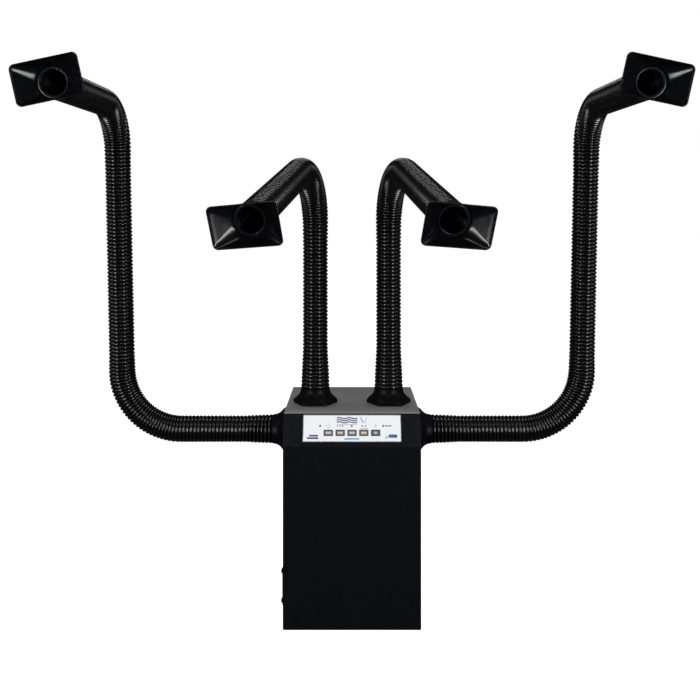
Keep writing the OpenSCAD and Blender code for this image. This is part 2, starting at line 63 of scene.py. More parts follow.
HOSE_R = 0.0297                 # crest of a ridge on a riser
WIDE_R = 0.0312                 # crest of a ridge on a run, a bend or an elbow
HOSE_INNER_R = 0.0246
RIDGE_DEPTH = 0.0034
INNER_DEPTH = 0.0023            # the ridges inside a hose, near its hood
HOSE_SEGMENTS = 40
PITCH = 0.0088                  # from one ridge to the next
BEND_PITCH = 0.0078             # the same in a side arm's lower bend
FLARE_R = 0.0040                # a hose widens by this at its collar
FLARE_LEN = 0.110
TOP_BEND_R = 0.120
SIDE_CORNER_X = 0.543
SIDE_BEND_R = 0.142
SIDE_ELBOW_R = 0.098
WRIST = (0.0803, 0.0203)        # the flexible stretch behind a hood, back from its throat
SLEEVE_GAP = 0.0206             # a hose ends this far behind its hood's throat

COLLAR_H = 0.034
COLLAR_HEX_R = 0.0535           # across the hexagon's corners, halved
COLLAR_RIM_R = 0.034
COLLAR_BORE_R = 0.0321
BELL_R = 0.026
BELL_TURN = math.radians(50)
SPIGOT_R = 0.036
SPIGOT_LEN = 0.012

THROAT_R = 0.030
HOOD_WALL = 0.002
HOOD_DEPTH = 0.033
MOUTH = (0.128, 0.079)
MOUTH_CORNER = 0.010
NECK_LEN = 0.014
NECK_R = 0.03005
CUFF_BACK = 0.020
GRIP_R = 0.032
HOOD_TURN = {"top": math.radians(4.6), "side": math.radians(12)}

SHEET = 0.0015
FOLD_R = 0.004
SLOPE_RUN = 0.031
SLOPE_H = 0.068
FASCIA_T = 0.002
LABEL = (0.218, 0.059)
LABEL_MID = 0.0405
LABEL_PROUD = 0.0012
KEY = (0.020, 0.013)
KEY_PITCH = 0.0262
KEY_MID = 0.0306
LAMP_MID = 0.0456
LAMP_X = (-0.0707, 0.0695, 0.0755, 0.0805, 0.0855)
LAMP_R = 0.0015
GRILLE_T = 0.0012
GRILLE_SCREWS = [(y, z) for y in (0.140, 0.016) for z in (0.061, 0.126)]
BACK_SCREW_Z = (0.016, 0.112, 0.368, 0.456)
BACK_SCREW_IN = 0.008           # from the cabinet's side
HINGE_Z = (0.150, 0.275)        # the lower end of each of the door's two hinges
DOOR_W = 0.280
DOOR_T = 0.002
LATCH_R = 0.008
GAP = 0.0003

# ---- Room, lamps and camera ----

WORLD_DIM = 0.05                # the room's brightness as the object sees it
FLOOR_GLOW = 0.97
FLOOR_RINGS = (0.6, 1.5, 4, 40)
# name, place, what it points at, width, height, watts
SOFTBOXES = [
    ("strip_right", (1.9, -2.3, 0.65), (0, 0, 0.75), 0.5, 1.3, 60),
    ("strip_left", (-1.9, -2.3, 0.65), (0, 0, 0.75), 0.5, 1.3, 52),
    ("overhead", (0, 0.5, 3.0), (0, -0.1, 0.8), 1.6, 0.5, 20),
    ("front_top", (0, -2.0, 2.7), (0, -0.1, 0.6), 1.6, 0.1, 10),
    ("side_right", (2.4, -0.35, 1.95), (-0.3, -0.3, 1.1), 1.5, 1.2, 9),
    ("side_left", (-2.4, -0.35, 1.95), (0.3, -0.3, 1.1), 1.5, 1.2, 9),
]
CAMERA_PLACE = (0, -1.798, 0.888)
CAMERA_SENSOR = 36              # millimetres
CAMERA_LENS = 38.5714
CAMERA_SHIFT = (-0.002857, -0.177143)

# ---- Outlines: closed lists of points in a plane, counter-clockwise ----


def fillet(points, radius, steps=4):
    """A closed outline with each of its corners rounded. radius is one number, or one for each corner"""
    radii = radius if hasattr(radius, "__len__") else [radius] * len(points)
    rounded = []
    for i, here in enumerate(points):
        here = Vector(here)
        back = (Vector(points[i - 1]) - here).normalized()
        onward = (Vector(points[(i + 1) % len(points)]) - here).normalized()
        half = back.angle(onward) / 2
        if radii[i] <= 0 or half > math.radians(89):
            rounded.append(here)
            continue
        reach = radii[i] / math.tan(half)
        middle = (back + onward).normalized()
        centre = here + middle * radii[i] / math.sin(half)
        start = here + back * reach - centre
        swing = start.angle_signed(here + onward * reach - centre)
        for k in range(steps + 1):
            angle = -swing * k / steps
            turned = Vector((start.x * math.cos(angle) - start.y * math.sin(angle),
                             start.x * math.sin(angle) + start.y * math.cos(angle)))
            rounded.append(centre + turned)
    return rounded


def rectangle(width, height, radius=0.0, at=(0, 0), steps=4):
    x, y = width / 2, height / 2
    corners = [(-x, -y), (x, -y), (x, y), (-x, y)]
    return fillet([(at[0] + a, at[1] + b) for a, b in corners], radius, steps)


def circle(radius, at=(0, 0), count=48):
    turns = [2 * math.pi * k / count for k in range(count)]
    return [Vector((at[0] + radius * math.cos(a), at[1] + radius * math.sin(a))) for a in turns]


def inset(loop, depth):
    """The outline moved inward by depth, or outward if it runs clockwise"""
    moved = []
    for i, here in enumerate(loop):
        a = (here - loop[i - 1]).normalized()
        b = (loop[(i + 1) % len(loop)] - here).normalized()
        normal_a, normal_b = Vector((-a.y, a.x)), Vector((-b.y, b.x))
        moved.append(here + depth * (normal_a + normal_b) / (1 + normal_a.dot(normal_b)))
    return moved


# ---- Meshes ----


def to_mesh(name, bm, place=None, smooth_under=40):
    """A new object of a bmesh, with outward normals, and smooth where its faces meet at a small angle"""
    bmesh.ops.remove_doubles(bm, verts=bm.verts, dist=1e-6)
    bmesh.ops.dissolve_degenerate(bm, edges=bm.edges, dist=1e-7)
    if place is not None:
        bmesh.ops.transform(bm, matrix=place, verts=bm.verts)
    bmesh.ops.recalc_face_normals(bm, faces=bm.faces)
    mesh = bpy.data.meshes.new(name)
    bm.to_mesh(mesh)
    bm.free()
    mesh.shade_smooth()
    mesh.set_sharp_from_angle(angle=math.radians(smooth_under))
    piece = bpy.data.objects.new(name, mesh)
    bpy.context.scene.collection.objects.link(piece)
    return piece


def add_loft(bm, rings, closed=False, caps=False, material=0):
    """Joins rings of as many points each. closed joins the last ring to the first, caps fill the ends"""
    made = [[bm.verts.new(point) for point in ring] for ring in rings]
    pairs = list(zip(made, made[1:]))
    if closed:
        pairs.append((made[-1], made[0]))
    count = len(made[0])
    for low, high in pairs:
        for k in range(count):
            following = (k + 1) % count
            face = bm.faces.new((low[k], low[following], high[following], high[k]))
            face.material_index = material
    if caps:
        for ring in (made[0], made[-1]):
            bm.faces.new(ring).material_index = material
    return made


def lift(loop, z):
    return [(point[0], point[1], z) for point in loop]


def add_lathe(bm, profile, segments=64, material=0):
    """Turns a closed outline of (radius, height) points round Z"""
    turns = [2 * math.pi * k / segments for k in range(segments)]
    rings = [[(r * math.cos(a), r * math.sin(a), z) for a in turns] for r, z in profile]
    add_loft(bm, rings, closed=True, material=material)


def lathe(name, profile, place=None, segments=64, smooth_under=40):
    bm = bmesh.new()
    add_lathe(bm, profile, segments)
    return to_mesh(name, bm, place, smooth_under)


def add_plate(bm, loops, low, high, edge, steps=3, material=0):
    """A flat plate with rounded edges. The first loop is its outline, and the rest are holes"""
    quarter = [math.pi / 2 * k / steps for k in range(steps + 1)]
    profile = [(edge * (1 - math.sin(a)), low + edge * (1 - math.cos(a))) for a in quarter]
    profile += [(depth, low + high - z) for depth, z in reversed(profile)]
    ends = ([], [])
    for i, loop in enumerate(loops):
        if i:
            loop = loop[::-1]
        rings = [lift(inset(loop, depth), z) for depth, z in profile]
        made = add_loft(bm, rings, material=material)
        for end, ring in zip(ends, (made[0], made[-1])):
            end.extend(bm.edges.get((ring[k - 1], ring[k])) for k in range(len(ring)))
    for end in ends:
        filled = bmesh.ops.triangle_fill(bm, edges=end, use_beauty=True, use_dissolve=False)
        for face in filled["geom"]:
            if isinstance(face, bmesh.types.BMFace):
                face.material_index = material


def plate(name, loops, low, high, edge, place=None, smooth_under=40):
    bm = bmesh.new()
    add_plate(bm, loops, low, high, edge)
    return to_mesh(name, bm, place, smooth_under)


def axes(x, y, z, at):
    """The placing matrix whose X, Y and Z lie along the given directions"""
    turned = Matrix((x, y, z)).transposed().to_4x4()
    return Matrix.Translation(at) @ turned


def aim(at, direction):
    """Z along direction, with X level"""
    z = Vector(direction).normalized()
    up = Vector((0, 1, 0)) if abs(z.z) > 0.9 else Vector((0, 0, 1))
    x = up.cross(z).normalized()
    return axes(x, z.cross(x), z, Vector(at))


MIRROR = Matrix.Diagonal((-1, 1, 1, 1))


def mirrored(place, right):
    return MIRROR @ place if right else place


# ---- Materials ----


def material(name, colour, roughness, metallic=0.0, specular=0.5, blotch=0.15, grain=0.0,
             grain_size=0.0006, rough_spread=0.06, second=None):
    """A procedural finish: cloudy colour and roughness, and a fine surface grain in the bump.
    second is the colour of the clouds"""
    made = bpy.data.materials.new(name)
    made.use_nodes = True
    tree = made.node_tree
    shader = tree.nodes["Principled BSDF"]
    shader.inputs["Metallic"].default_value = metallic
    shader.inputs["Specular IOR Level"].default_value = specular
    coordinates = tree.nodes.new("ShaderNodeTexCoord")

    def noise(scale, detail):
        node = tree.nodes.new("ShaderNodeTexNoise")
        node.inputs["Scale"].default_value = scale
        node.inputs["Detail"].default_value = detail
        tree.links.new(coordinates.outputs["Object"], node.inputs["Vector"])
        return node.outputs["Fac"]

    clouds = noise(22, 5)
    # a mix node has sockets of the same names for each data type, so its colours go by number
    mix = tree.nodes.new("ShaderNodeMix")
    mix.data_type = "RGBA"
    mix.inputs[6].default_value = (*colour, 1)
    other = second or [c * (1 + 2 * blotch) for c in colour]
    mix.inputs[7].default_value = (*other, 1)
    tree.links.new(clouds, mix.inputs[0])
    tree.links.new(mix.outputs[2], shader.inputs["Base Color"])

    spread = tree.nodes.new("ShaderNodeMapRange")
    spread.inputs["From Min"].default_value = 0.3
    spread.inputs["From Max"].default_value = 0.7
    spread.inputs["To Min"].default_value = roughness - rough_spread
    spread.inputs["To Max"].default_value = roughness + rough_spread
    tree.links.new(noise(60, 6), spread.inputs["Value"])
    tree.links.new(spread.outputs["Result"], shader.inputs["Roughness"])
    if grain:
        bump = tree.nodes.new("ShaderNodeBump")
        bump.inputs["Strength"].default_value = grain
        bump.inputs["Distance"].default_value = grain_size / 4
        tree.links.new(noise(1 / grain_size, 3), bump.inputs["Height"])
        tree.links.new(bump.outputs["Normal"], shader.inputs["Normal"])
    return made


POWDER = material("powder_black", (0.0022, 0.0026, 0.0038), 0.46, specular=0.06,
                  grain=0.25, grain_size=0.0012)
# The top plate is the same black powder coat as the cabinet; its mid grey base colour is a painted reflection of
# the room seen at a grazing angle.
POWDER_TOP_PAINTED_REFLECTION = material("powder_top_painted_reflection", (0.25, 0.248, 0.238), 0.34, specular=0.3, blotch=0.06,
                      grain=0.10, grain_size=0.0012)
PANEL = material("panel_blue_black", (0.0026, 0.0034, 0.0058), 0.40, specular=0.12,
                 grain=0.2, grain_size=0.0012)
HOSE = material("hose_polyethylene", (0.0016, 0.0016, 0.0016), 0.20, specular=0.50, blotch=0.2,
                grain=0.04, grain_size=0.002, rough_spread=0.03)
MOULDED = material("moulded_gloss", (0.0016, 0.0019, 0.0026), 0.19, specular=0.22,
                   blotch=0.3, grain=0.03, grain_size=0.002, rough_spread=0.03)
COLLAR = material("moulded_satin", (0.0014, 0.0015, 0.0022), 0.40, specular=0.07,
                  blotch=0.3, grain=0.06, grain_size=0.0015, rough_spread=0.03)
LABEL_WHITE = material("label_polyester", (0.72, 0.75, 0.78), 0.36, specular=0.2, blotch=0.0,
                       second=(0.79, 0.81, 0.83), grain=0.05, grain_size=0.0008)
BEZEL = material("label_bezel", (0.42, 0.43, 0.45), 0.3, metallic=0.7, grain=0.05)
# The keys are one taupe: the dark border tone is painted shade, the slope tone is painted shading between, and the
# pale centre tone is a painted highlight.
KEY_DARK_PAINTED_SHADE = material("key_border_painted_shade", (0.060, 0.051, 0.045), 0.42, specular=0.2, grain=0.05)
KEY_SLOPE_PAINTED_SHADING = material("key_slope_painted_shading", (0.16, 0.14, 0.13), 0.42, specular=0.2, grain=0.05)
KEY_CENTRE_PAINTED_HIGHLIGHT = material("key_centre_painted_highlight", (0.50, 0.46, 0.43), 0.45, specular=0.2, blotch=0.1,
                    second=(0.56, 0.50, 0.46), grain=0.05)
# the power key's darker border tone is painted shade on its blue
KEY_BLUE_DARK_PAINTED_SHADE = material("power_border_painted_shade", (0.018, 0.028, 0.042), 0.42, specular=0.2, grain=0.05)
KEY_BLUE = material("power_slope", (0.09, 0.14, 0.16), 0.42, specular=0.2, grain=0.05)
MARK_BLACK = material("mark_black", (0.012, 0.012, 0.014), 0.5, specular=0.2)
MARK_GREY = material("mark_grey", (0.16, 0.155, 0.16), 0.5, specular=0.2)
MARK_PALE = material("mark_pale_grey", (0.52, 0.50, 0.50), 0.5, specular=0.2)
MARK_NAVY = material("mark_navy", (0.055, 0.065, 0.16), 0.5, specular=0.2)
MARK_BLUE = material("mark_blue", (0.045, 0.10, 0.26), 0.5, specular=0.2)
MARK_SKY = material("mark_sky", (0.17, 0.32, 0.50), 0.5, specular=0.2)
MARK_TEAL = material("mark_teal", (0.24, 0.38, 0.40), 0.5, specular=0.2)
MARK_WHITE = material("mark_white", (0.40, 0.47, 0.50), 0.5, specular=0.2)
LENS = material("lamp_lens", (0.006, 0.007, 0.009), 0.12)
SCREW = material("screw_black", (0.012, 0.012, 0.013), 0.35, metallic=0.5, grain=0.1)
ZINC = material("zinc_sheet", (0.5, 0.51, 0.53), 0.38, metallic=1.0, blotch=0.08, grain=0.1)
CAST = material("motor_alloy", (0.42, 0.44, 0.46), 0.5, metallic=0.9, grain=0.4, grain_size=0.002)
BRASS = material("pin_metal", (0.6, 0.55, 0.42), 0.3, metallic=1.0)
BOARD = material("solder_mask", (0.02, 0.12, 0.05), 0.3, blotch=0.3)
IMPELLER = material("impeller_plastic", (0.62, 0.62, 0.63), 0.5, grain=0.1)
FIBRE = material("filter_fibre", (0.72, 0.73, 0.72), 0.9, grain=0.8, grain_size=0.003)
CARBON = material("filter_carbon", (0.02, 0.02, 0.02), 0.85, grain=1.0, grain_size=0.003)

SLOT_FINISH = {
    "cabinet_black": POWDER, "top_black": POWDER_TOP_PAINTED_REFLECTION, "panel_black": PANEL,
    "label_white": LABEL_WHITE, "key_taupe": KEY_DARK_PAINTED_SHADE, "key_blue": KEY_BLUE, "lamp_dark": LENS,
    "board_green": BOARD, "hose_black": HOSE, "moulded_black": MOULDED, "zinc_steel": ZINC,
    "screw_black": SCREW, "motor_alloy": CAST, "impeller_plastic": IMPELLER,
    "filter_white": FIBRE, "filter_carbon": CARBON,
}


def add_piece(piece, body, finishes, replaced=()):
    """Gives a finished mesh its materials, its body and the nodes that it stands for"""
    for finish in finishes if isinstance(finishes, (list, tuple)) else [finishes]:
        piece.data.materials.append(finish)
    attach(piece, body)
    if replaced:
        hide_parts(*replaced)
    return piece


# ---- Hoses ----


class Centreline:
    """A hose's middle line: straight runs joined by arcs of the given radii"""

    def __init__(self, corners, radii):
        self.parts = []
        self.length = 0
        self.bends = []             # where each arc starts and ends, along the line
        here = corners[0]
        side = None
        for i in range(1, len(corners)):
            along = (corners[i] - corners[i - 1]).normalized()
            if side is None:
                side = along.orthogonal().normalized()
            last = i == len(corners) - 1
            onward = along if last else (corners[i + 1] - corners[i]).normalized()
            cut = 0 if last else radii[i - 1] * math.tan(along.angle(onward) / 2)
            end = corners[i] - along * cut
            self.add((end - here).length, here, along, side)
            if not last:
                axis = along.cross(onward).normalized()
                angle = along.angle(onward)
                self.bends.append((self.length, self.length + radii[i - 1] * angle))
                self.add(radii[i - 1] * angle, end, along, side, axis, radii[i - 1])
                side = Matrix.Rotation(angle, 3, axis) @ side
                here = corners[i] + onward * cut

    def add(self, length, start, along, side, axis=None, radius=0):
        self.parts.append((self.length, length, start, along, side, axis, radius))
        self.length += length

    def at(self, distance):
        """The point at a distance along the line, with the two directions across it"""
        part = next((p for p in self.parts if distance <= p[0] + p[1]), self.parts[-1])
        begun, _, start, along, side, axis, radius = part
        travelled = distance - begun
        if axis is None:
            return start + along * travelled, side, along.cross(side)
        turn = Matrix.Rotation(travelled / radius, 3, axis)
        centre = start + axis.cross(along) * radius
        side = turn @ side
        return centre + turn @ (start - centre), side, (turn @ along).cross(side)


RIDGE_STEPS = 10
# One ridge, an arch with a sharp valley before it: share of the pitch, and share of the depth
RIDGE = [(k / RIDGE_STEPS, math.sin(math.pi * k / RIDGE_STEPS) ** 0.85)
         for k in range(RIDGE_STEPS)]
CIRCLE = [2 * math.pi * k / HOSE_SEGMENTS for k in range(HOSE_SEGMENTS)]


def ridge_starts(begin, end, stations):
    """Where each ridge starts, for ridges whose pitch follows (distance, pitch, radius) stations"""
    places, pitches, _ = zip(*stations)
    starts = [begin]
    while starts[-1] < end:
        starts.append(starts[-1] + float(np.interp(starts[-1], places, pitches)))
    stretch = (end - begin) / (starts[-1] - begin)
    return [begin + (s - begin) * stretch for s in starts]


def hose_radius(distance, begin, stations):
    """Radius over the ridges: it flares at the collar, and follows the stations further on"""
    near = max(0.0, 1 - (distance - begin) / FLARE_LEN)
    flare = near * near * (3 - 2 * near)
    places, _, radii = zip(*stations)
    return max(HOSE_R + FLARE_R * flare, float(np.interp(distance, places, radii)))


def hose_piece(name, line, starts, begin, stations, right, ridged_inside=False):
    """The ridged wall between the first and the last of the given ridge starts"""
    outside, inside = [], []

    def ring(distance, radius):
        centre, side, other = line.at(distance)
        return [centre + radius * (math.cos(a) * side + math.sin(a) * other) for a in CIRCLE]

    inner = RIDGE if ridged_inside else RIDGE[:1]
    for low, high in zip(starts, starts[1:]):
        for share, height in RIDGE:
            distance = low + (high - low) * share
            radius = hose_radius(distance, begin, stations)
            outside.append(ring(distance, radius - RIDGE_DEPTH * (1 - height)))
        for share, height in inner:
            inside.append(ring(low + (high - low) * share, HOSE_INNER_R + INNER_DEPTH * height))
    outside.append(ring(starts[-1], hose_radius(starts[-1], begin, stations) - RIDGE_DEPTH))
    inside.append(ring(starts[-1], HOSE_INNER_R))
    bm = bmesh.new()
    add_loft(bm, outside + inside[::-1], closed=True)
    return to_mesh(name, bm, mirrored(Matrix.Identity(4), right), smooth_under=70)


def nearest(starts, distance):
    """Which ridge starts nearest to a distance along the line"""
    return min(range(len(starts)), key=lambda i: abs(starts[i] - distance))


def hose(family, side, line, stations, stretches):
    """One arm's hose, cut in the middle of its straight runs, so that each length holds one bend.
    stretches gives the two bodies of each length and where it bends"""
    right = side == "right"
    begin = COLLAR_H + 0.0023
    starts = ridge_starts(begin, line.length - SLEEVE_GAP, stations)
    bends = [stretch[2] for stretch in stretches]
    cuts = [0]
    cuts += [nearest(starts, (a[1] + b[0]) / 2) for a, b in zip(bends, bends[1:])]
    cuts.append(len(starts) - 1)
    for i, (before, after, bend, replaced) in enumerate(stretches):
        last = i == len(stretches) - 1
        piece = hose_piece(f"{family}_{side}_hose_{i + 1}", line, starts[cuts[i]:cuts[i + 1] + 1],
                           begin, stations, right, ridged_inside=last)
        piece.data.materials.append(HOSE)
        ends = [line.at(distance)[0] for distance in bend]
        if right:
            ends = [MIRROR @ end for end in ends]
        arm = f"{family}_{side}_"
        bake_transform(piece)
        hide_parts(*[arm + node for node in replaced])


def arm_line(family):
    """The middle line of a left arm, from its port to its throat"""
    port = Vector(joints[f"{family}_left_swivel"]["pos_m"])
    throat = Vector(joints[f"{family}_left_hood_turn"]["pos_m"])
    ahead = Vector(joints[f"{family}_left_hood_turn"]["axis"]).normalized()
    back = (port.y - throat.y) / ahead.y
    elbow = throat + back * ahead
    if family == "top":
        elbow.x = port.x
        return Centreline([port, elbow, throat], [TOP_BEND_R]), throat, ahead
    corner = Vector((-SIDE_CORNER_X, port.y, port.z))
    line = Centreline([port, corner, elbow, throat], [SIDE_BEND_R, SIDE_ELBOW_R])
    return line, throat, ahead


# ---- Swivel cuffs, hood cuffs and hoods ----

CUFF_R = 0.032
CUFF_LIP_R = 0.0336
CUFF_LIP = 0.002


def swivel_cuff(family, side, port, outward):
    """The sleeve that turns in a collar, with a lip on each side of it"""
    low = -SPIGOT_LEN - GAP
    top = COLLAR_H + GAP
    profile = fillet([
        (HOSE_R + 0.0002, low - 0.005), (CUFF_LIP_R, low - 0.005), (CUFF_LIP_R, low),
        (CUFF_R, low), (CUFF_R, top), (CUFF_LIP_R, top), (CUFF_LIP_R, top + CUFF_LIP),
        (HOSE_R + 0.0002, top + CUFF_LIP)], [0, 0.0005, 0.0005, 0, 0, 0.0006, 0.0009, 0])
    place = mirrored(aim(port, outward), side == "right")
    piece = lathe(f"{family}_{side}_swivel_cuff", profile, place)
    body = f"{family}_{side}_" + ("riser" if family == "top" else "run")
    add_piece(piece, body, COLLAR, [f"{family}_{side}_cuff"])


def hood_cuff(family, side, throat, ahead):
    """The sleeve that a hood turns on: a fluted grip behind the neck, and the hose's ridges inside"""
    back, neck, front = -CUFF_BACK, -NECK_LEN - GAP, -GAP * 2
    outer = fillet([(HOSE_INNER_R, back), (GRIP_R, back), (GRIP_R, neck), (0.03, neck),
                    (0.03, front), (HOSE_INNER_R, front)], [0, 0.0012, 0.0006, 0, 0.0004, 0.0005])
    count = 2
    pitch = (front - back - 0.002) / count
    inner = [(HOSE_INNER_R + INNER_DEPTH * height, front - 0.002 - pitch * (k + share))
             for k in range(count) for share, height in RIDGE]
    profile = outer + inner[:-1]
    bm = bmesh.new()
    add_lathe(bm, profile, 96)
    # the grip's shallow flutes
    for vert in bm.verts:
        radius = math.hypot(vert.co.x, vert.co.y)
        if radius > GRIP_R - 0.0004:
            flute = 1 - 0.018 * (0.5 + 0.5 * math.cos(24 * math.atan2(vert.co.y, vert.co.x)))
            vert.co.x *= flute
            vert.co.y *= flute
    place = mirrored(aim(throat, ahead), side == "right")
    piece = to_mesh(f"{family}_{side}_hood_sleeve", bm, place, smooth_under=50)
    node = f"{family}_{side}_hood_cuff"
    add_piece(piece, node, MOULDED, [node])


def funnel_ring(share, grow, z, steps=10):
    """A funnel's outline at height z: the throat's circle at share 0, the mouth's rectangle at
    share 1. grow moves it outward"""
    ring = []
    for quadrant in range(4):
        for k in range(steps + 1):
            angle = math.pi / 2 * (quadrant + k / steps)
            across, up = math.cos(angle), math.sin(angle)
            corner_x = (MOUTH[0] / 2 - MOUTH_CORNER) * (1 if quadrant in (0, 3) else -1)
            corner_y = (MOUTH[1] / 2 - MOUTH_CORNER) * (1 if quadrant < 2 else -1)
            mouth_r = MOUTH_CORNER - HOOD_WALL + grow
            circle_r = THROAT_R + grow
            ring.append(((1 - share) * circle_r * across + share * (corner_x + mouth_r * across),
                         (1 - share) * circle_r * up + share * (corner_y + mouth_r * up), z))
    return ring


def hood(family, side, throat, ahead):
    """A rectangular funnel with a rolled lip, a round neck and a step where the neck meets the throat"""
    sleeve_r = NECK_R + HOOD_WALL - THROAT_R
    inner_sleeve = NECK_R - THROAT_R
    lip = 0.0013                    # radius of the rolled lip
    steps = 8
    bend = 0.0045                   # the neck bends into the funnel over twice this length
    outer = [funnel_ring(0, inner_sleeve, -NECK_LEN), funnel_ring(0, sleeve_r - 0.0006, -NECK_LEN),
             funnel_ring(0, sleeve_r, -NECK_LEN + 0.0006), funnel_ring(0, sleeve_r, -0.004)]
    for k in range(1, 4):           # a short fillet from the neck into the funnel
        rise = math.sin(math.pi / 2 * k / 4)
        outer.append(funnel_ring(0.03 * k / 4, sleeve_r + 0.0003 * k, -0.004 + 0.0045 * rise))
    for k in range(1, steps):
        share = k / steps
        outer.append(funnel_ring(share, HOOD_WALL + (sleeve_r - HOOD_WALL) * (1 - share) ** 2 * 0.6,
                                 HOOD_DEPTH * share))
    rim_z = HOOD_DEPTH - lip
    rolled = [funnel_ring(1, HOOD_WALL / 2 + lip * math.cos(a), rim_z + lip * math.sin(a))
              for a in [math.pi * k / 8 - math.pi / 5 for k in range(10)]]
    inner = [funnel_ring(k / steps, 0, HOOD_DEPTH * k / steps) for k in range(steps - 1, 1, -1)]
    for k in range(6, -1, -1):
        z = bend * (k / 3 - 1)
        share = (z + bend) ** 2 / (4 * bend * HOOD_DEPTH)
        inner.append(funnel_ring(share, inner_sleeve * (1 - k / 6), z))
    bm = bmesh.new()
    add_loft(bm, outer + rolled + inner, closed=True)
    place = aim(throat, ahead) @ Matrix.Rotation(HOOD_TURN[family], 4, "Z")
    piece = to_mesh(f"{family}_{side}_fume_hood", bm, mirrored(place, side == "right"), smooth_under=60)
    node = f"{family}_{side}_hood"
    add_piece(piece, node, MOULDED, [node])


def arms():
    for family in ("top", "side"):
        line, throat, ahead = arm_line(family)
        port, outward = line.at(0)[0], line.parts[0][3]
        wrist = tuple(line.length - back for back in WRIST)
        if family == "top":
            bend = line.bends[0]
            stations = [(bend[0] - 0.05, PITCH, HOSE_R), (bend[0] + 0.04, PITCH, WIDE_R)]
            stretches = [("riser", "upper", bend, ["riser", "elbow"]),
                         ("upper", "hood_cuff", wrist, ["upper", "wrist"])]
        else:
            low, high = line.bends
            stations = [(low[0] - 0.02, PITCH, WIDE_R), (low[0] + 0.03, BEND_PITCH, WIDE_R),
                        (low[1] - 0.02, BEND_PITCH, WIDE_R), (low[1] + 0.04, PITCH, HOSE_R),
                        (high[0] - 0.05, PITCH, HOSE_R), (high[0] + 0.04, PITCH, WIDE_R)]
            stretches = [("run", "riser", low, ["run", "bend"]),
                         ("riser", "upper", high, ["riser", "elbow"]),
                         ("upper", "hood_cuff", wrist, ["upper", "wrist"])]
        for side in ("left", "right"):
            hose(family, side, line, stations, stretches)
            swivel_cuff(family, side, port, outward)
            hood_cuff(family, side, throat, ahead)
            hood(family, side, throat, ahead)


# ---- Collars ----


def bell_radius(z):
    """Radius of a collar's trumpet at height z: an arc, and a cone below it"""
    arc_low = COLLAR_H - BELL_R * math.sin(BELL_TURN)
    turn = math.asin((COLLAR_H - max(z, arc_low)) / BELL_R)
    return COLLAR_RIM_R + BELL_R * (1 - math.cos(turn)) + max(0, arc_low - z) * math.tan(BELL_TURN)


def add_collar(bm, place):
    """A hexagonal foot that grows into a trumpet. Each column of points breaks where the two meet"""
    per_side = 16
    soft = 0.0010                   # the rounding of its edges
    foot = bell_radius(0)
    columns = []
    for k in range(6 * per_side):
        angle = 2 * math.pi * k / (6 * per_side)
        from_flat = (k % per_side) / per_side * math.pi / 3 - math.pi / 6
        flat = COLLAR_HEX_R * math.cos(math.pi / 6) / math.cos(from_flat)
        side_r = min(flat, COLLAR_HEX_R - soft)
        crease = (foot - side_r) / math.tan(BELL_TURN)
        profile = [(COLLAR_BORE_R, -SPIGOT_LEN), (SPIGOT_R, -SPIGOT_LEN), (SPIGOT_R, 0),
                   (side_r - soft, 0), (side_r, soft), (side_r, crease - soft),
                   (side_r - soft * 0.35, crease + soft * 0.2)]
        low = crease + soft * 1.2
        for step in range(11):
            z = low + (COLLAR_H - soft - low) * step / 10
            profile.append((bell_radius(z), z))
        profile += [(COLLAR_RIM_R - soft * 0.5, COLLAR_H - soft * 0.15),
                    (COLLAR_RIM_R - soft * 1.3, COLLAR_H), (COLLAR_BORE_R + soft, COLLAR_H),
                    (COLLAR_BORE_R, COLLAR_H - soft)]
        columns.append([place @ Vector((r * math.cos(angle), r * math.sin(angle), z))
                        for r, z in profile])
    rings = [list(ring) for ring in zip(*columns)]
    add_loft(bm, rings, closed=True)


def collars():
    bm = bmesh.new()
    for family, outward in (("top", (0, 0, 1)), ("side", (-1, 0, 0))):
        port = joints[f"{family}_left_swivel"]["pos_m"]
        # the first corner of a top hexagon points to the side, and that of a side one to the back
        level = Vector((1, 0, 0)) if family == "top" else Vector((0, 1, 0))
        z = Vector(outward)
        place = axes(level, z.cross(level), z, Vector(port))
        for right in (False, True):
            add_collar(bm, mirrored(place, right))
    piece = to_mesh("port_collar_set", bm, smooth_under=32)
    add_piece(piece, "cabinet", COLLAR, ["port_collars"])


# ---- Cabinet shell ----

top_low, top_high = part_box("top_plate")
HALF_W = top_high.x
HALF_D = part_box("body_wrap")[1].y
CAB_H = top_high.z
FRONT_H = CAB_H - SLOPE_H
TILT = math.atan2(SLOPE_H, SLOPE_RUN)
SLOPE = Matrix.Translation((0, -HALF_D, FRONT_H)) @ Matrix.Rotation(TILT, 4, "X")
LEFT_WALL = axes(Vector((0, -1, 0)), Vector((0, 0, 1)), Vector((-1, 0, 0)), Vector((-HALF_W, 0, 0)))
BACK_WALL = axes(Vector((-1, 0, 0)), Vector((0, 0, 1)), Vector((0, 1, 0)), Vector((0, HALF_D, 0)))


def top_plate():
    port = joints["top_left_swivel"]["pos_m"]
    front, back = top_low.y, top_high.y
    outline = fillet([(-HALF_W, front), (HALF_W, front), (HALF_W, back), (-HALF_W, back)],
                     0.0015)
    holes = [circle(SPIGOT_R + GAP, (s * port[0], port[1]), 64) for s in (-1, 1)]
    piece = plate("top_skin", [outline] + holes, CAB_H - SHEET, CAB_H, 0.0006)
    # the top skin takes the mid grey base colour, a painted reflection
    add_piece(piece, "cabinet", POWDER_TOP_PAINTED_REFLECTION, ["top_plate"])


def key_windows():
    return [rectangle(KEY[0] + 2 * GAP, KEY[1] + 2 * GAP, 0.0014, (i * KEY_PITCH, KEY_MID))
            for i in range(-2, 3)]


def lamp_holes():
    return [circle(LAMP_R + 0.0001, (x, LAMP_MID), 24) for x in LAMP_X]


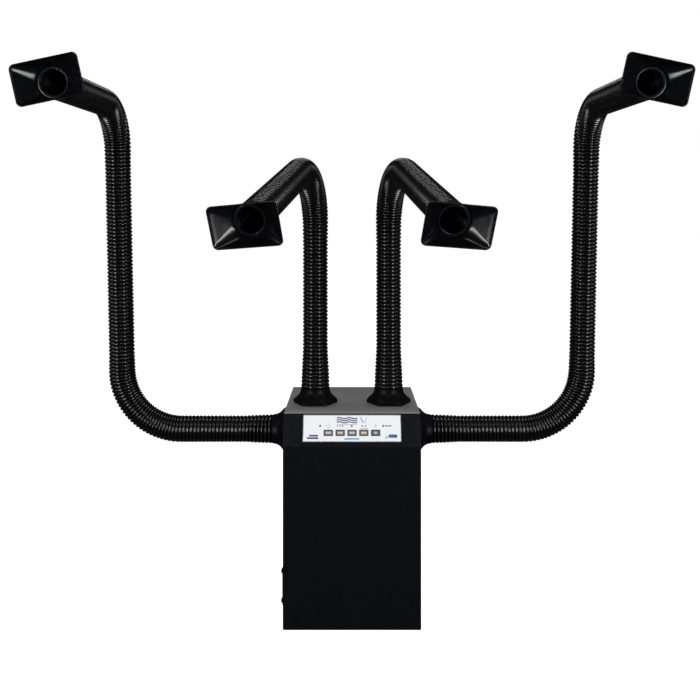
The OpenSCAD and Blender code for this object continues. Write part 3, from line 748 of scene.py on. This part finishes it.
def fascia():
    upper = (SLOPE_H - SHEET) / math.sin(TILT)
    outline = fillet([(-HALF_W, 0), (HALF_W, 0), (HALF_W, upper), (-HALF_W, upper)], 0.0012)
    piece = plate("control_panel", [outline] + key_windows() + lamp_holes(),
                  -FASCIA_T, 0, 0.0007, SLOPE)
    add_piece(piece, "cabinet", PANEL, ["control_fascia"])


def label():
    outline = rectangle(LABEL[0] - 0.003, LABEL[1] - 0.003, 0.0012, (0, LABEL_MID))
    piece = plate("label_face", [outline] + key_windows() + lamp_holes(),
                  -0.0004, LABEL_PROUD, 0.00035, SLOPE)
    add_piece(piece, "cabinet", LABEL_WHITE, ["keypad_label"])
    ring = [rectangle(LABEL[0], LABEL[1], 0.0022, (0, LABEL_MID)),
            rectangle(LABEL[0] - 0.0031, LABEL[1] - 0.0031, 0.0012, (0, LABEL_MID))]
    bezel = plate("label_bezel", ring, -0.0004, LABEL_PROUD + 0.0001, 0.0005, SLOPE)
    add_piece(bezel, "cabinet", BEZEL)


def marks(name, loops, finish, body="cabinet", base=LABEL_PROUD, height=0.00012):
    """Printed marks, raised by the thickness of their ink. Each entry is an outline with its holes"""
    bm = bmesh.new()
    for shape in loops:
        add_plate(bm, shape, base - 0.0001, base + height, 0.00004, steps=1)
    add_piece(to_mesh(name, bm, SLOPE), body, finish)


def wave(start, end, middle, thick, swing, count=24):
    """A band that rises and falls along the label, as a sign for moving air"""
    steps = [start + (end - start) * k / count for k in range(count + 1)]
    line = [middle + swing * math.sin(2 * math.pi * 2 * (x - start) / (end - start)) for x in steps]
    under = [Vector((x, y - thick / 2)) for x, y in zip(steps, line)]
    over = [Vector((x, y + thick / 2)) for x, y in zip(steps, line)]
    return under + over[::-1]


def label_marks():
    """Plain signs above the keys, and plain bands where the label has its wording"""
    row = LAMP_MID
    key_x = [i * KEY_PITCH for i in range(-2, 3)]
    left, right, low = -LABEL[0] / 2, LABEL[0] / 2, LABEL_MID - LABEL[1] / 2
    square = [[rectangle(0.0036, 0.0038, 0.0008, (key_x[2] - 0.0004, row))]]
    dots = [[circle(0.0022, (x, LAMP_MID), 24), circle(LAMP_R + 0.0002, (x, LAMP_MID), 24)]
            for x in LAMP_X[:2]]
    marks("label_signs_dark", square + dots, MARK_BLACK)
    diamond = [[circle(0.0011, (key_x[0] + 0.0040 * math.cos(a), row + 0.0040 * math.sin(a)), 16)]
               for a in [math.pi / 2 * k for k in range(4)]]
    bars = [[rectangle(0.0018 + 0.0004 * k, 0.0034, 0.0004, (key_x[1] + 0.0056 * (k - 1), row))]
            for k in range(3)]
    pair = [[rectangle(0.0030, 0.0036, 0.0008, (key_x[3] + 0.0036 * s, row))] for s in (-1, 1)]
    marks("label_signs_grey", diamond + bars + pair, MARK_GREY)
    marks("label_ring", [[circle(0.0030, (key_x[4], row), 32)]], MARK_PALE)
    top = LABEL_MID + LABEL[1] / 2 - 0.0075
    waves = [[wave(-0.034, 0.012, top - 0.0046 * k, 0.0026, 0.0011)] for k in range(3)]
    marks("label_waves", waves, MARK_NAVY)
    leaf = [[[Vector(p) for p in ((0.017, top + 0.002), (0.0235, top - 0.0105), (0.0275, top - 0.0105),
                                  (0.0205, top + 0.002))]],
            [[Vector(p) for p in ((0.0275, top - 0.0085), (0.0295, top - 0.0095), (0.0335, top + 0.001),
                                  (0.0325, top + 0.001))]]]
    band = [[rectangle(0.033, 0.0036, 0.0012, (-0.0007, low + 0.0065))]]
    marks("label_leaf_teal", leaf, MARK_TEAL)
    fine = [[rectangle(0.0180, 0.0014, 0.0006, (key_x[3], row - 0.0056))],
            [rectangle(0.046, 0.0010, 0.0004, (-0.011, top - 0.0143))]]
    marks("label_bands_sky", band + fine, MARK_SKY)
    stack = [[rectangle(0.0205, 0.0036, 0.0016, (left + 0.0240, low + 0.0135))],
             [rectangle(0.0255, 0.0040, 0.0018, (left + 0.0220, low + 0.0082))]]
    marks("label_stack_navy", stack, MARK_NAVY)
    block = [[rectangle(0.0190, 0.0072, 0.0022, (right - 0.0185, low + 0.0125))]]
    marks("label_block_blue", block, MARK_BLUE)
    tail = [[circle(0.0030, (right - 0.0325, low + 0.0100), 24),
             circle(0.0018, (right - 0.0325, low + 0.0100), 24)]]
    marks("label_tail_grey", tail, MARK_GREY)


def key(node, i, finishes):
    """An embossed key: a border coloured dark as painted shade, which steps up to a crowned middle coloured pale
    as a painted highlight
    """
    at = (i * KEY_PITCH, KEY_MID)
    # how far in from the edge, height, and which finish the face below this ring has
    steps = [(0, -0.0033, 0), (0, 0.0009, 0), (0.00025, 0.00125, 0), (0.0006, 0.0014, 0),
             (0.0022, 0.00142, 0), (0.0026, 0.0016, 1), (0.0036, 0.0018, 1), (0.0042, 0.00186, 1),
             (0.0050, 0.0019, 2)]
    bm = bmesh.new()
    rings = []
    for depth, z, _ in steps:
        corner = max(0.0004, 0.0014 - depth * 0.5)
        rings.append(lift(rectangle(KEY[0] - 2 * depth, KEY[1] - 2 * depth, corner, at, 5), z))
    made = add_loft(bm, rings)
    zone = {}
    for ring, (_, _, finish) in zip(made, steps):
        for vert in ring:
            zone[vert] = finish
    for face in bm.faces:
        face.material_index = max(zone[vert] for vert in face.verts)
    for ring, finish in ((made[0], 0), (made[-1], 2)):
        bm.faces.new(ring).material_index = finish
    piece = to_mesh(node + "_cap", bm, SLOPE, smooth_under=50)
    add_piece(piece, node, finishes, [node])


def keys():
    names = ("mode_key", "speed_key", "timer_key", "filter_key")
    # the taupe keys: painted shade at the border, painted shading on the slope, painted highlight in the middle
    for i, node in enumerate(names):
        key(node, i - 2, [KEY_DARK_PAINTED_SHADE, KEY_SLOPE_PAINTED_SHADING, KEY_CENTRE_PAINTED_HIGHLIGHT])
    # the power key's border takes the painted shade; its slope and middle keep their own blue
    key("power_key", 2, [KEY_BLUE_DARK_PAINTED_SHADE, KEY_BLUE, KEY_BLUE])
    at = (2 * KEY_PITCH, KEY_MID)
    marks("power_sign", [[circle(0.0029, at, 32), circle(0.0008, at, 32)]], MARK_WHITE,
          "power_key", base=0.0019, height=0.0001)


def lamps():
    bm = bmesh.new()
    dome = [(0, -0.006), (LAMP_R, -0.006), (LAMP_R, LABEL_PROUD)]
    dome += [(LAMP_R * math.cos(a), LABEL_PROUD + 0.0006 * math.sin(a))
             for a in [math.pi / 2 * k / 5 for k in range(1, 6)]]
    for x in LAMP_X:
        before = len(bm.verts)
        add_lathe(bm, dome, 24)
        bm.verts.ensure_lookup_table()
        bmesh.ops.translate(bm, vec=(x, LAMP_MID, 0), verts=bm.verts[before:])
    piece = to_mesh("status_lamps", bm, SLOPE, smooth_under=50)
    add_piece(piece, "cabinet", LENS, ["status_leds"])


# ---- Grille, door, latch and inlet ----


def grille():
    low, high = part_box("exhaust_grille")
    middle = (-(low.y + high.y) / 2, (low.z + high.z) / 2)
    width, height = high.y - low.y, high.z - low.z
    slot_w, slot_h, pitch = width - 0.036, 0.004, 0.0075
    count = int((height - 0.036) / pitch) + 1
    first = low.z + 0.018 + slot_h / 2
    loops = [rectangle(width, height, 0.004, middle, 6)]
    loops += [rectangle(slot_w, slot_h, 0.0018, (middle[0], first + k * pitch), 5)
              for k in range(count)]
    loops += [circle(0.0022, screw, 24) for screw in GRILLE_SCREWS]
    piece = plate("grille_plate", loops, 0, GRILLE_T, 0.0005, LEFT_WALL)
    add_piece(piece, "cabinet", POWDER, ["exhaust_grille"])


def screw_heads(name, node, place, points, radius, height, shank):
    """Domed pan heads with a cross recess"""
    bm = bmesh.new()
    crown = [(radius * math.cos(a), height * (0.45 + 0.55 * math.sin(a)))
             for a in [math.pi / 2 * k / 6 for k in range(7)]]
    profile = [(0, -shank), (0.0019, -shank), (0.002, 0), (radius - 0.0002, 0), (radius, 0.0003)]
    for x, y in points:
        before = len(bm.verts)
        add_lathe(bm, profile + crown, 36)
        bm.verts.ensure_lookup_table()
        bmesh.ops.translate(bm, vec=(x, y, 0), verts=bm.verts[before:])
    piece = to_mesh(name, bm, place, smooth_under=55)
    cutter_mesh = bmesh.new()
    arm, half = radius * 0.55, radius * 0.11
    for x, y in points:
        for a, b in ((arm, half), (half, arm)):
            box = rectangle(2 * a, 2 * b, 0, (x, y))
            add_loft(cutter_mesh, [lift(box, height * 0.55), lift(box, height * 2)], caps=True)
    cutter = to_mesh(name + "_cut", cutter_mesh, place)
    cut = piece.modifiers.new("recess", "BOOLEAN")
    cut.operation = "DIFFERENCE"
    cut.solver = "EXACT"
    cut.use_self = True
    cut.object = cutter
    graph = bpy.context.evaluated_depsgraph_get()
    piece.data = bpy.data.meshes.new_from_object(piece.evaluated_get(graph))
    piece.modifiers.clear()
    bpy.data.objects.remove(cutter)
    add_piece(piece, "cabinet", SCREW, [node])


def screws():
    outer = LEFT_WALL @ Matrix.Translation((0, 0, GRILLE_T))
    screw_heads("grille_screw_heads", "grille_screws", outer, GRILLE_SCREWS, 0.0055, 0.003, 0.007)
    points = [(s * (HALF_W - BACK_SCREW_IN), z) for s in (-1, 1) for z in BACK_SCREW_Z]
    screw_heads("back_screw_heads", "back_screws", BACK_WALL, points, 0.004, 0.0024, 0.008)


def door():
    """The door's sheet with a pressed field, and its knuckles on the hinge pins"""
    latch = joints["door_latch_turn"]["pos_m"]
    hinge = joints["filter_door_hinge"]["pos_m"]
    low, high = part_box("filter_door")
    left = hinge[0] + 0.005
    face_low, face_high = GAP, GAP + DOOR_T
    middle = (-(left + DOOR_W / 2), (low.z + high.z) / 2)
    height = high.z - low.z
    hole = circle(LATCH_R + 0.0001, (-latch[0], latch[2]), 40)
    bm = bmesh.new()
    add_plate(bm, [rectangle(DOOR_W, height, 0.005, middle, 6), hole], face_low, face_high, 0.0007)
    add_plate(bm, [rectangle(DOOR_W - 0.03, height - 0.03, 0.012, middle, 8), hole],
              face_high - 0.0004, face_high + 0.0009, 0.0009)
    sleeve = fillet([(0.0021, 0.0183), (0.004, 0.0183), (0.004, 0.0417), (0.0021, 0.0417)],
                    [0, 0.0004, 0.0004, 0])
    for z in HINGE_Z:
        knuckle = bmesh.new()
        add_lathe(knuckle, sleeve, 32)
        to_hinge = BACK_WALL.inverted() @ Matrix.Translation((hinge[0], hinge[1], z))
        bmesh.ops.transform(knuckle, matrix=to_hinge, verts=knuckle.verts)
        loose = bpy.data.meshes.new("knuckle")
        knuckle.to_mesh(loose)
        knuckle.free()
        bm.from_mesh(loose)
        bpy.data.meshes.remove(loose)
        tab = rectangle(0.006, 0.0234, 0.0, (-hinge[0] - 0.0035, z + 0.03))
        add_plate(bm, [tab], face_low, face_high, 0.0003)
    piece = to_mesh("filter_door_panel", bm, BACK_WALL, smooth_under=40)
    add_piece(piece, "filter_door", POWDER, ["filter_door"])


def latch():
    """A quarter-turn knob with a finger bar outside, and a tongue inside"""
    pivot = joints["door_latch_turn"]["pos_m"]
    at = BACK_WALL @ Matrix.Translation((-pivot[0], pivot[2], 0))
    base = 2 * GAP + DOOR_T
    bm = bmesh.new()
    inner_end = -SHEET - 0.0005
    spindle = fillet([(0, inner_end), (LATCH_R, inner_end), (LATCH_R, base), (0.015, base),
                      (0.015, base + 0.004), (0, base + 0.004)], [0, 0.0003, 0, 0.0004, 0.0014, 0])
    add_lathe(bm, spindle, 72)
    for vert in bm.verts:
        radius = math.hypot(vert.co.x, vert.co.y)
        if radius > 0.0146:
            ribbed = 1 - 0.02 * (0.5 + 0.5 * math.cos(24 * math.atan2(vert.co.y, vert.co.x)))
            vert.co.x *= ribbed
            vert.co.y *= ribbed
    bar = rectangle(0.007, 0.026, 0.0032, steps=6)
    top = base + 0.013
    rings = [lift(inset(bar, depth), z) for depth, z in
             ((-0.0008, base + 0.0038), (0, base + 0.0048), (0.0003, top - 0.0012),
              (0.0007, top - 0.0004), (0.0016, top))]
    add_loft(bm, rings, caps=True)
    tongue = rectangle(0.012, 0.033, 0.003, (0, 0.0075), 5)
    add_plate(bm, [tongue], -SHEET - 0.003, inner_end, 0.0004)
    piece = to_mesh("latch_knob", bm, at, smooth_under=42)
    add_piece(piece, "door_latch", MOULDED, ["door_latch"])


def inlet():
    """An appliance inlet: a flange, a recess with two cut corners, and three blades"""
    low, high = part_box("power_inlet")
    at = BACK_WALL @ Matrix.Translation((-(low.x + high.x) / 2, (low.z + high.z) / 2, 0))
    recess = fillet([(-0.0121, -0.0083), (0.0121, -0.0083), (0.0121, 0.0035), (0.0078, 0.0083),
                     (-0.0078, 0.0083), (-0.0121, 0.0035)], 0.0008)
    face = high.y - HALF_D
    floor_z = face - 0.017
    bm = bmesh.new()
    add_plate(bm, [rectangle(0.050, 0.026, 0.004, steps=6), recess], 0, face, 0.0007)
    wall = inset(recess, -0.0014)
    add_loft(bm, [lift(recess, face - 0.0012), lift(recess, floor_z), lift(wall, floor_z - 0.001),
                  lift(wall, 0.0002)])
    add_plate(bm, [inset(recess, -0.0006)], floor_z - 0.002, floor_z, 0.0002)
    piece = to_mesh("inlet_socket", bm, at, smooth_under=40)
    add_piece(piece, "cabinet", MOULDED, ["power_inlet"])
    bm = bmesh.new()
    for x, y in ((-0.007, 0.002), (0, -0.002), (0.007, 0.002)):
        blade = rectangle(0.002, 0.004, 0.0003, (x, y), 2)
        add_plate(bm, [blade], floor_z - 0.001, floor_z + 0.012, 0.0005, steps=2)
    add_piece(to_mesh("inlet_blades", bm, at), "cabinet", BRASS)


# ---- What the frame already shows ----


def finish_nodes():
    slots = {part["node"]: part["material_slot"] for part in frame["record"]["subparts"]}
    for name, node in nodes.items():
        node.data.materials.clear()
        node.data.materials.append(SLOT_FINISH[slots[name]])


# ---- Studio ----


def room(scene):
    """White walls as the camera sees them, and dim ones for the gloss to reflect"""
    world = bpy.data.worlds.new("studio")
    world.use_nodes = True
    tree = world.node_tree
    background = tree.nodes["Background"]
    background.inputs["Color"].default_value = (1, 1, 1, 1)
    seen = tree.nodes.new("ShaderNodeLightPath")
    strength = tree.nodes.new("ShaderNodeMapRange")
    strength.inputs["To Min"].default_value = WORLD_DIM
    strength.inputs["To Max"].default_value = 1.0
    tree.links.new(seen.outputs["Is Camera Ray"], strength.inputs["Value"])
    tree.links.new(strength.outputs["Result"], background.inputs["Strength"])
    scene.world = world


def floor():
    bm = bmesh.new()
    rings = [[(r * math.cos(a), r * math.sin(a), 0) for a in CIRCLE] for r in FLOOR_RINGS]
    bm.faces.new(add_loft(bm, rings)[0])
    sheet = to_mesh("studio_floor", bm)
    pale = material("floor_pale", (0.85, 0.85, 0.85), 0.8, specular=0.1, blotch=0.01)
    shader = pale.node_tree.nodes["Principled BSDF"]
    shader.inputs["Emission Color"].default_value = (1, 1, 1, 1)
    shader.inputs["Emission Strength"].default_value = FLOOR_GLOW
    sheet.data.materials.append(pale)
    # the floor is bright for the camera, and throws no light up at the object
    sheet.visible_diffuse = False
    sheet.visible_glossy = False


def softbox(scene, name, place, target, width, height, power):
    light = bpy.data.lights.new(name, "AREA")
    light.shape = "RECTANGLE"
    light.size = width
    light.size_y = height
    light.energy = power
    lamp = bpy.data.objects.new(name, light)
    lamp.location = place
    lamp.rotation_euler = (Vector(target) - Vector(place)).to_track_quat("-Z", "Y").to_euler()
    scene.collection.objects.link(lamp)


def camera(scene):
    """Level, square to the front, and shifted down so that uprights stay upright"""
    data = bpy.data.cameras.new("camera")
    data.sensor_width = CAMERA_SENSOR
    data.lens = CAMERA_LENS
    data.shift_x, data.shift_y = CAMERA_SHIFT
    viewer = bpy.data.objects.new("camera", data)
    viewer.location = CAMERA_PLACE
    viewer.rotation_euler = (math.pi / 2, 0, 0)
    scene.collection.objects.link(viewer)
    scene.camera = viewer


def studio():
    scene = bpy.context.scene
    scene.view_settings.view_transform = "Standard"
    room(scene)
    floor()
    for values in SOFTBOXES:
        softbox(scene, *values)
    camera(scene)


finish_nodes()
arms()
collars()
top_plate()
fascia()
label()
label_marks()
keys()
lamps()
grille()
screws()
door()
latch()
inlet()
studio()
